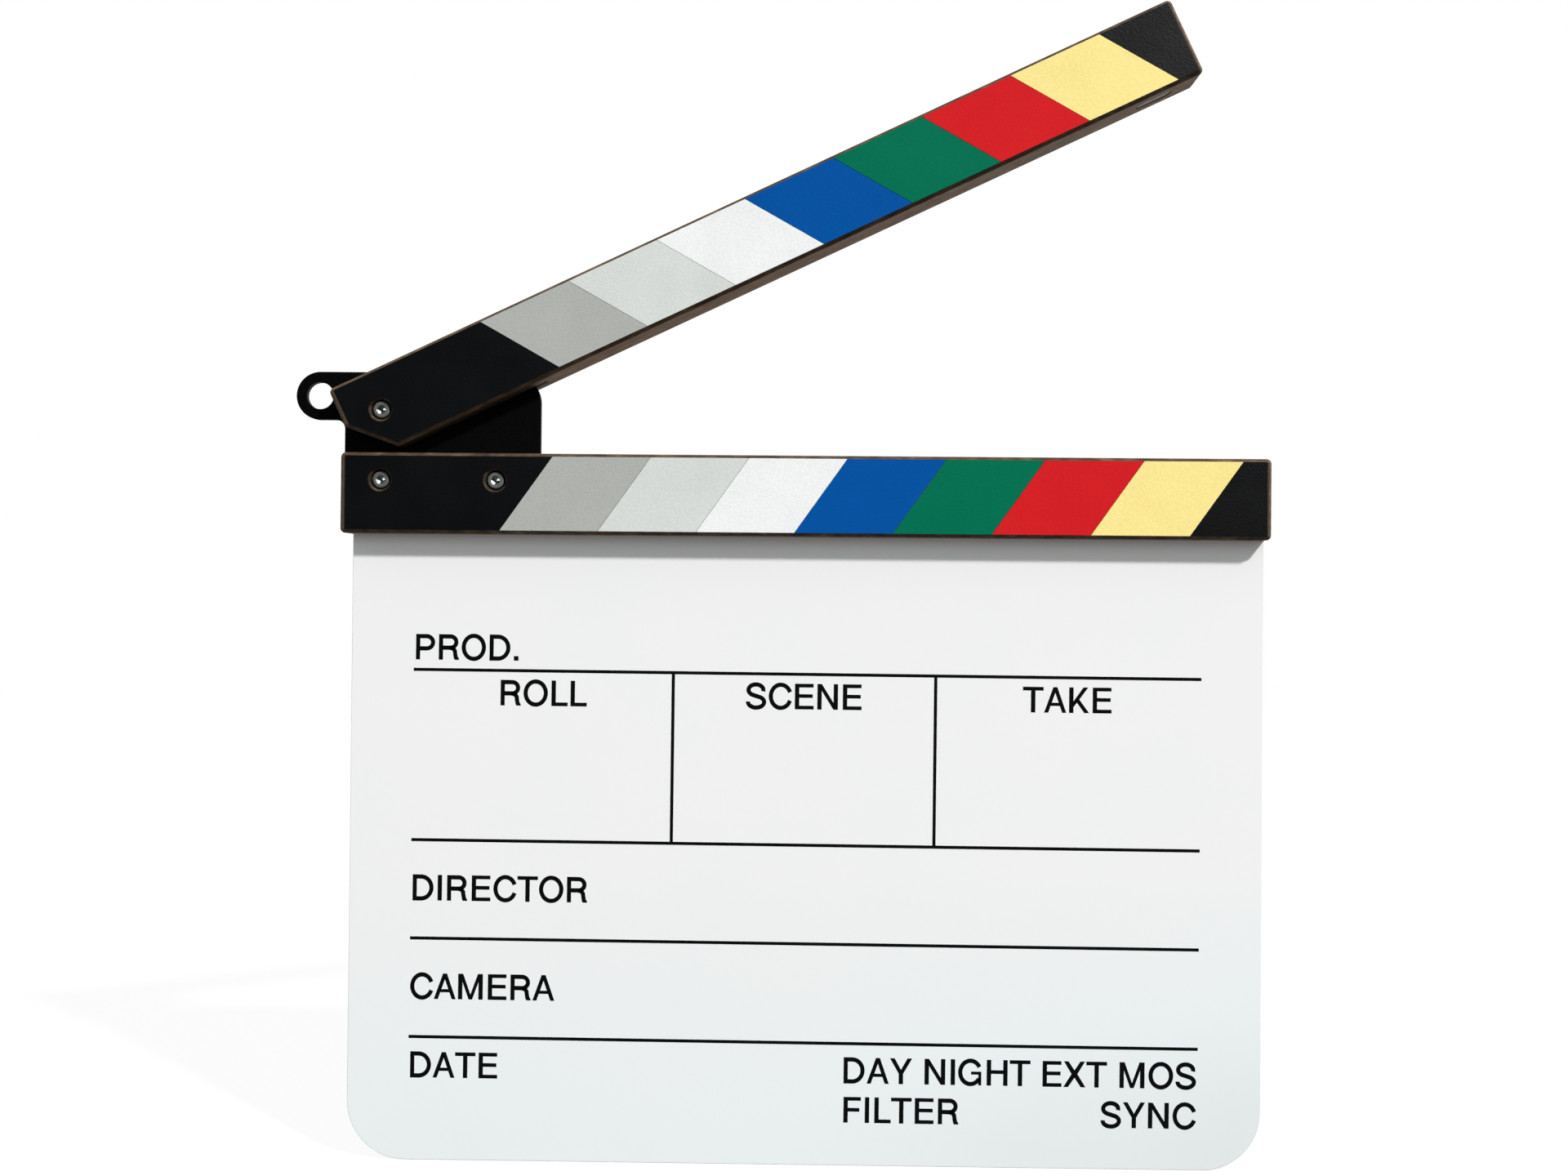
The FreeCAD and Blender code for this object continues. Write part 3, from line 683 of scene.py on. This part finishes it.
SCREW_ROWS = {"plate_screws": "lower", "pivot_screws": "upper"}
SCREW = {
    "head_height": 3 * MM,
    "head_edge": 0.45 * MM,
    "shank_radius": 1.5 * MM,
    "socket_width": 2.5 * MM,
    "socket_depth": 1 * MM,
    "socket_chamfer": 0.12 * MM,
    "drill_point": 0.74 * MM,
    "knurl_depth": 0.12 * MM,
    "thread_pitch": 0.5 * MM,
    "thread_depth": 0.3 * MM,
    "tip_chamfer": 0.4 * MM,
}
KNURL_RIDGES = 36
HEAD_STEPS = 4 * KNURL_RIDGES
EDGE_STEPS = 4
THREAD_STEPS = 36
RINGS_PER_TURN = 8


def add_ring(bm, level, steps, radius_at):
    """A ring of vertices about the Y axis. The radius depends on the angle."""
    ring = []
    for step in range(steps):
        angle = 2 * math.pi * step / steps
        radius = radius_at(angle)
        ring.append(bm.verts.new((radius * math.cos(angle), level, radius * math.sin(angle))))
    return ring


def join_rings(bm, rings):
    for first, second in zip(rings, rings[1:]):
        for step in range(len(first)):
            after = (step + 1) % len(first)
            bm.faces.new((first[step], first[after], second[after], second[step]))


def close_ring(bm, ring, level):
    """Closes a ring with a fan to one point on the axis."""
    point = bm.verts.new((0, level, 0))
    for step, vertex in enumerate(ring):
        bm.faces.new((point, ring[(step + 1) % len(ring)], vertex))


def round_radius(radius):
    return lambda angle: radius


def hexagon_radius(width):
    """The radius of a hexagon with the given width across its flats, at each angle."""
    sector = math.pi / 3
    return lambda angle: width / 2 / math.cos((angle % sector) - sector / 2)


def knurl_radius(radius):
    """The radius of a head with upright ridges, at each angle."""
    half_depth = SCREW["knurl_depth"] / 2
    return lambda angle: radius - half_depth * (1 - math.cos(KNURL_RIDGES * angle))


def thread_radius(level, tip):
    """The threaded shank's radius at each angle, on a slope of one pitch in a turn."""

    def radius_at(angle):
        turns = (level / SCREW["thread_pitch"] - angle / (2 * math.pi)) % 1
        groove = abs(2 * turns - 1)
        radius = SCREW["shank_radius"] - SCREW["thread_depth"] * groove
        return min(radius, SCREW["shank_radius"] - SCREW["tip_chamfer"] + tip - level)

    return radius_at


def add_screw_head(bm, head_radius):
    """A knurled round head with a rolled edge and a drilled hexagon socket. Its front is at y = 0."""
    edge = SCREW["head_edge"]
    run_out = edge / 2
    seat = SCREW["head_height"]
    hexagon = hexagon_radius(SCREW["socket_width"])
    knurled = knurl_radius(head_radius)
    socket_mouth = SCREW["socket_width"] / math.sqrt(3) + SCREW["socket_chamfer"]
    rings = [
        (SCREW["socket_depth"], hexagon),
        (SCREW["socket_chamfer"], hexagon),
        (0, round_radius(socket_mouth)),
        (0, round_radius((socket_mouth + head_radius - edge) / 2)),
    ]
    for step in range(EDGE_STEPS + 1):
        angle = math.pi / 2 * step / EDGE_STEPS
        radius = head_radius - edge * (1 - math.sin(angle))
        rings.append((edge * (1 - math.cos(angle)), round_radius(radius)))
    rings.append((edge + run_out, knurled))
    rings.append((seat - run_out, knurled))
    rings.append((seat, round_radius(head_radius - run_out)))
    made = [add_ring(bm, level, HEAD_STEPS, radius_at) for level, radius_at in rings]
    join_rings(bm, made)
    close_ring(bm, made[0], SCREW["socket_depth"] + SCREW["drill_point"])
    close_ring(bm, made[-1], seat)


def add_screw_shank(bm, tip):
    """A threaded shank that starts inside the head."""
    start = SCREW["head_height"] - SCREW["head_edge"]
    count = round((tip - start) / SCREW["thread_pitch"] * RINGS_PER_TURN)
    levels = [start + (tip - start) * step / count for step in range(count + 1)]
    rings = [add_ring(bm, level, THREAD_STEPS, thread_radius(level, tip)) for level in levels]
    join_rings(bm, rings)
    close_ring(bm, rings[0], start)
    close_ring(bm, rings[-1], tip)


def screw_template(node):
    """One socket screw with its front at the origin, as long and wide as the construction piece."""
    low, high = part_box(node)
    bm = bmesh.new()
    add_screw_head(bm, (high.x - low.x) / 2)
    add_screw_shank(bm, high.y - low.y)
    mesh = finished_mesh(bm, "screw_template")
    radius = mesh.attributes.new("turned_radius", "FLOAT", "POINT")
    radius.data.foreach_set("value", [math.hypot(vertex.co.x, vertex.co.z) for vertex in mesh.vertices])
    return add_object("screw_template", mesh)


def screw_row_tree(material):
    """Copies of a screw along a straight row."""
    tree = bpy.data.node_groups.new("screw_row", "GeometryNodeTree")
    for name, kind in (("Screw", "Object"), ("Count", "Int"), ("First place", "Vector"), ("Step", "Vector")):
        tree.interface.new_socket(name, in_out="INPUT", socket_type=f"NodeSocket{kind}")
    tree.interface.new_socket("Screws", in_out="OUTPUT", socket_type="NodeSocketGeometry")
    given = tree.nodes.new("NodeGroupInput").outputs
    nodes = Nodes(tree, "GeometryNode")
    row = {"Count": given["Count"], "Start Location": given["First place"], "Offset": given["Step"]}
    line = nodes.add("MeshLine", row).outputs["Mesh"]
    screw = nodes.add("ObjectInfo", {"Object": given["Screw"]}).outputs["Geometry"]
    copies = nodes.add("InstanceOnPoints", {"Points": line, "Instance": screw}).outputs["Instances"]
    real = nodes.add("RealizeInstances", {"Geometry": copies}).outputs["Geometry"]
    plated = nodes.add("SetMaterial", {"Geometry": real, "Material": material}).outputs["Geometry"]
    nodes.join(tree.nodes.new("NodeGroupOutput"), {"Screws": plated})
    return tree


def plain_mesh(carrier, name):
    """The evaluated object as a plain mesh of its own, in place of the carrier."""
    graph = bpy.context.evaluated_depsgraph_get()
    mesh = bpy.data.meshes.new_from_object(carrier.evaluated_get(graph), depsgraph=graph)
    mesh.name = name
    bpy.data.objects.remove(carrier)
    return add_object(name, mesh)


def make_screws():
    tree = screw_row_tree(plated_finish("screw_steel", ZINC, turned=True))
    for name, stick in SCREW_ROWS.items():
        nodes = STICK_SCREWS[stick]
        template = screw_template(nodes[0])
        first, last = screw_front(nodes[0]), screw_front(nodes[-1])
        inputs = {"Screw": template, "Count": len(nodes), "First place": first, "Step": last - first}
        carrier = add_object("screw_row", bpy.data.meshes.new("screw_row"))
        modifier = carrier.modifiers.new("screw_row", "NODES")
        modifier.node_group = tree
        for socket in tree.interface.items_tree:
            if socket.name in inputs:
                modifier[socket.identifier] = inputs[socket.name]
        screws = plain_mesh(carrier, name)
        bpy.data.objects.remove(template)
        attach(screws, STICK_BODIES[stick])
        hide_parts(*nodes)


# Printed form on the slate, in millimetres: x from the sheet's middle, z from its foot. It is turned a
# little about the middle of the form.

PRINT_TURN = math.radians(-0.195)
PRINT_MIDDLE = 100
INK_HEIGHT = 0.02 * MM
INK_SINK = 0.005 * MM
INK_WELD = 0.001 * MM
RULE_WIDTH = 1.04
RULE_REACH = 128.15
RULE_LEVELS = (159.15, 103.62, 71.61, 39.53)
COLUMN_EDGES = (-43.25, 42.13)

# Plain capitals, drawn in units of the cap height and of a letter's width: the stem, the thinner bar and
# the mean width of a round stroke, and the space before a stem
CAP_HEIGHT = 8.33
LETTER_WIDTH = 8.07
STEM = 0.176
BAR = 0.145
ROUND = 0.169
SIDE = 0.115
ARC_STEP = 9
SHARPEST_MITRE = 0.3


def arc(x, y, rx, ry, start, end):
    """Points along an ellipse from one angle to another, in degrees."""
    count = max(2, round(abs(end - start) / ARC_STEP))
    angles = [math.radians(start + (end - start) * step / count) for step in range(count + 1)]
    return [(x + rx * math.cos(angle), y + ry * math.sin(angle)) for angle in angles]


def bar(left, bottom, right, top):
    return [(left, bottom), (right, bottom), (right, top), (left, top)]


def stroke(path, closed=False):
    """A round stroke's band along a path, as four-cornered pieces with mitred joints."""
    points = [Vector(point) for point in path]
    if closed:
        points = [points[-1]] + points + [points[0]]
    else:
        points = [points[0] * 2 - points[1]] + points + [points[-1] * 2 - points[-2]]
    sides = []
    for before, here, after in zip(points, points[1:], points[2:]):
        into = (here - before).normalized()
        out = (after - here).normalized()
        across = Vector((-(into + out).y, (into + out).x)).normalized()
        reach = ROUND / 2 / max(across.dot(Vector((-into.y, into.x))), SHARPEST_MITRE)
        sides.append((here - across * reach, here + across * reach))
    if closed:
        sides.append(sides[0])
    return [[a[0], b[0], b[1], a[1]] for a, b in zip(sides, sides[1:])]


def stem(left=SIDE):
    return bar(left, 0, left + STEM, 1)


def letter_a():
    left, right, top, foot = 0.02, 0.91, 0.162, 0.164
    middle = (left + right) / 2
    lean = middle - top / 2 - left
    inner = (middle - left - foot) / lean
    low, high = 0.265, 0.39
    legs = [(left, 0), (left + foot, 0), (middle, inner), (right - foot, 0), (right, 0)]
    legs += [(middle + top / 2, 1), (middle - top / 2, 1)]
    ends = [left + foot + lean * low, left + foot + lean * high]
    cross = [(ends[0], low), (left + right - ends[0], low), (left + right - ends[1], high), (ends[1], high)]
    return [legs, cross]


def letter_d():
    left = SIDE + STEM / 2
    low, high = BAR / 2, 1 - BAR / 2
    bowl = arc(0.47, 0.5, 0.41, high - 0.5, -90, 90)
    return stroke([(left, low)] + bowl + [(left, high)], closed=True)


def letter_e():
    right = SIDE + STEM
    bars = [bar(right, 0, 0.875, BAR), bar(right, 0.45, 0.835, 0.45 + BAR), bar(right, 1 - BAR, 0.865, 1)]
    return [stem()] + bars


def letter_g():
    bowl = stroke(arc(0.53, 0.5, 0.41, 0.452, 28, 328))
    return bowl + [bar(0.85, 0, 0.965, 0.535), bar(0.555, 0.415, 0.85, 0.535)]


def letter_k():
    left = SIDE + STEM
    arm = [(left, 0.22), (0.88, 1), (0.685, 1), (left, 0.455)]
    leg = [(0.414, 0.42), (0.73, 0), (0.925, 0), (0.512, 0.54)]
    return [stem(), arm, leg]


def letter_m():
    left, right, top, half_foot = 0.105, 1.105, 0.203, 0.072
    middle = (left + right) / 2
    lean = middle + half_foot - left - top
    vee = 1 - (middle - left - top) / lean
    crotch = 1 - (STEM - top + 2 * half_foot) / lean
    outline = [(left, 0), (left + STEM, 0), (left + STEM, crotch), (middle - half_foot, 0)]
    outline += [(middle + half_foot, 0), (right - STEM, crotch), (right - STEM, 0), (right, 0)]
    outline += [(right, 1), (right - top, 1), (middle, vee), (left + top, 1), (left, 1)]
    return [outline]


def letter_n():
    left, right, top = 0.11, 0.94, 0.179
    vee = STEM / (right - left - top)
    outline = [(left, 0), (left + STEM, 0), (left + STEM, 1 - vee), (right - top, 0), (right, 0)]
    outline += [(right, 1), (right - STEM, 1), (right - STEM, vee), (left + top, 1), (left, 1)]
    return [outline]


def stem_and_bowl(straight, reach, foot):
    """The stem and the closed upper bowl that P and R share. The bowl's lower bar is at the foot."""
    top = 1 - ROUND / 2
    bowl = arc(straight, (top + foot) / 2, reach, (top - foot) / 2, 90, -90)
    left = SIDE + ROUND / 2
    return stroke([(left, 0), (left, top)] + bowl + [(SIDE + ROUND, foot)])


def letter_r():
    leg = [(0.56, 0.475), (0.7, 0.44), (0.765, 0.35), (0.785, 0.2), (0.81, 0.08), (0.85, 0.03), (0.85, 0)]
    return stem_and_bowl(0.585, 0.235, 0.475) + stroke(leg)


def letter_s():
    return stroke(arc(0.455, 0.737, 0.3, 0.213, -14, 252) + arc(0.465, 0.265, 0.325, 0.217, 72, -185))


def letter_x():
    middle, waist, half_waist = 0.465, 0.51, 0.117
    low, high = [(0.02, 0), (0.208, 0), (middle, 0.363)], [(middle, 0.657), (0.228, 1), (0.04, 1)]
    right_low = [(2 * middle - x, y) for x, y in reversed(low[:2])]
    right_high = [(2 * middle - x, y) for x, y in reversed(high[1:])]
    right = right_low + [(middle + half_waist, waist)] + right_high
    return [low + right + high + [(middle - half_waist, waist)]]


def letter_y():
    middle, fork = 0.465, 0.4
    left, right = middle - STEM / 2, middle + STEM / 2
    arms = [(0.91, 1), (0.722, 1), (middle, 0.557), (0.208, 1), (0.02, 1)]
    return [[(left, 0), (right, 0), (right, fork)] + arms + [(left, fork)]]


def make_letters():
    """Each letter's advance and its outlines."""
    right = SIDE + STEM
    top = 1 - BAR
    return {
        ".": (0.39, [bar(0.1, 0, 0.29, 0.18)]),
        "A": (0.91, letter_a()),
        "C": (1.02, stroke(arc(0.547, 0.5, 0.4, 0.452, 21, 339))),
        "D": (1.01, letter_d()),
        "E": (0.93, letter_e()),
        "F": (0.85, [stem(), bar(right, 0.43, 0.755, 0.43 + BAR), bar(right, top, 0.81, 1)]),
        "G": (1.08, letter_g()),
        "H": (1.02, [stem(0.107), stem(0.768), bar(0.107 + STEM, 0.455, 0.768, 0.455 + BAR)]),
        "I": (0.39, [stem(0.122)]),
        "K": (0.95, letter_k()),
        "L": (0.77, [stem(), bar(right, 0, 0.775, BAR)]),
        "M": (1.21, letter_m()),
        "N": (1.04, letter_n()),
        "O": (1.055, stroke(arc(0.5335, 0.5, 0.409, 0.452, 0, 351), closed=True)),
        "P": (0.93, stem_and_bowl(0.54, 0.265, 0.435)),
        "R": (1, letter_r()),
        "S": (0.93, letter_s()),
        "T": (0.85, [bar(0.01, top, 0.84, 1), bar(0.425 - STEM / 2, 0, 0.425 + STEM / 2, top)]),
        "X": (0.93, letter_x()),
        "Y": (0.93, letter_y()),
    }


# Headings: the word, the left and right end of its ink, and its baseline
HEADINGS = (
    ("PROD.", -127.5, -93.9, 162.4),
    ("ROLL", -99.6, -71.4, 147.75),
    ("SCENE", -19.5, 18.15, 147.75),
    ("TAKE", 70.45, 99.2, 147.75),
    ("DIRECTOR", -127.5, -70.45, 83.9),
    ("CAMERA", -127.85, -80.7, 51.85),
    ("DATE", -127.5, -99, 26.3),
    ("DAY", 13.7, 35.9, 26.7),
    ("NIGHT", 39.95, 74.2, 26.7),
    ("EXT", 78.15, 98.95, 26.65),
    ("MOS", 103, 127.7, 26.65),
    ("FILTER", 13.8, 51.05, 13.95),
    ("SYNC", 97.05, 127.8, 13.75),
)


def heading_shapes(letters, word, left, right, baseline):
    """The outlines of a word, its letters spaced so that the ink runs from one end to the other."""
    pens = [sum(letters[letter][0] for letter in word[:place]) for place in range(len(word))]
    outlines = [letters[letter][1] for letter in word]
    start = min(x for outline in outlines[0] for x, z in outline)
    end = pens[-1] + max(x for outline in outlines[-1] for x, z in outline)
    loose = ((right - left) / LETTER_WIDTH - (end - start)) / (len(word) - 1)
    shapes = []
    for place, pen in enumerate(pens):
        ahead = left + (pen + loose * place - start) * LETTER_WIDTH
        for outline in outlines[place]:
            shapes.append([(ahead + x * LETTER_WIDTH, baseline + z * CAP_HEIGHT) for x, z in outline])
    return shapes


def rule_shapes():
    half = RULE_WIDTH / 2
    shapes = [bar(-RULE_REACH, level - half, RULE_REACH, level + half) for level in RULE_LEVELS]
    top, bottom = RULE_LEVELS[0] - half, RULE_LEVELS[1] + half
    shapes += [bar(x - half, bottom, x + half, top) for x in COLUMN_EDGES]
    return shapes


def print_on_slate(name, shapes, material):
    """Flat ink on the slate's front, as thick as a screen print."""
    low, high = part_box("slate_board")
    middle = Vector(((low.x + high.x) / 2, low.y + INK_SINK, PRINT_MIDDLE * MM))
    turn = Quaternion((0, -1, 0), PRINT_TURN)
    bm = bmesh.new()
    for shape in shapes:
        corners = [turn @ Vector((x, 0, z - PRINT_MIDDLE)) * MM + middle for x, z in shape]
        bm.faces.new([bm.verts.new(corner) for corner in corners])
    bmesh.ops.remove_doubles(bm, verts=bm.verts, dist=INK_WELD)
    lifted = bmesh.ops.extrude_face_region(bm, geom=bm.faces[:], use_keep_orig=True)
    moved = [item for item in lifted["geom"] if isinstance(item, bmesh.types.BMVert)]
    bmesh.ops.translate(bm, verts=moved, vec=(0, -INK_HEIGHT - INK_SINK, 0))
    mesh = finished_mesh(bm, name)
    mesh.materials.append(material)
    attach(add_object(name, mesh), "slate")


def make_print():
    ink = ink_finish()
    letters = make_letters()
    headings = [shape for heading in HEADINGS for shape in heading_shapes(letters, *heading)]
    print_on_slate("printed_rules", rule_shapes(), ink)
    print_on_slate("printed_headings", headings, ink)


make_camera()
make_key_light()
make_world()
make_floor()
dress_cad_nodes()
make_screws()
make_print()

bpy.context.scene.view_settings.view_transform = "Standard"

bpy.context.view_layer.update()
